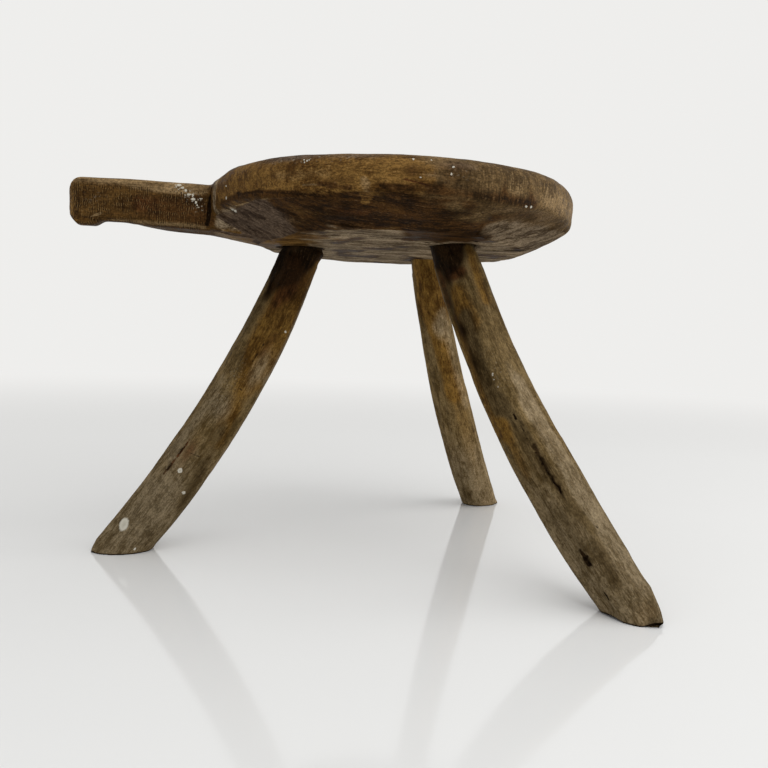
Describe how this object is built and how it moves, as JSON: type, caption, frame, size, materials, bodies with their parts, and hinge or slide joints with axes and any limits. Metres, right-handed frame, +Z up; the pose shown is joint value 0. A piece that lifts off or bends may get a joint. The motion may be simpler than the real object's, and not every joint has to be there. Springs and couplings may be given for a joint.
{
  "type": "lobi stool",
  "caption": "Low round wooden stool with a flat carved paddle handle and splayed, bent branch legs tenoned and wedged through the seat.",
  "frame": {"origin": "on the floor, under the middle of the stool's whole box", "axes": "+Z up; the handle points along -X and the seat's grain runs along X; -Y is the side of the leg that comes nearest in the picture"},
  "size_m": [0.422, 0.3968, 0.303],
  "materials": {
    "seat_wood": "hand hewn, worn and darkened by handling, with stray specks of pale paint",
    "leg_wood": "shaved branch, weathered grey-brown, smoke-dark towards the seat",
    "wedge_wood": "end grain, worn level with the seat"
  },
  "bodies": {
    "root": {"seat": "seat_wood", "leg_under_handle": "leg_wood", "leg_front": "leg_wood", "leg_back": "leg_wood", "wedge_under_handle": "wedge_wood", "wedge_front": "wedge_wood", "wedge_back": "wedge_wood"}
  },
  "joints": []
}
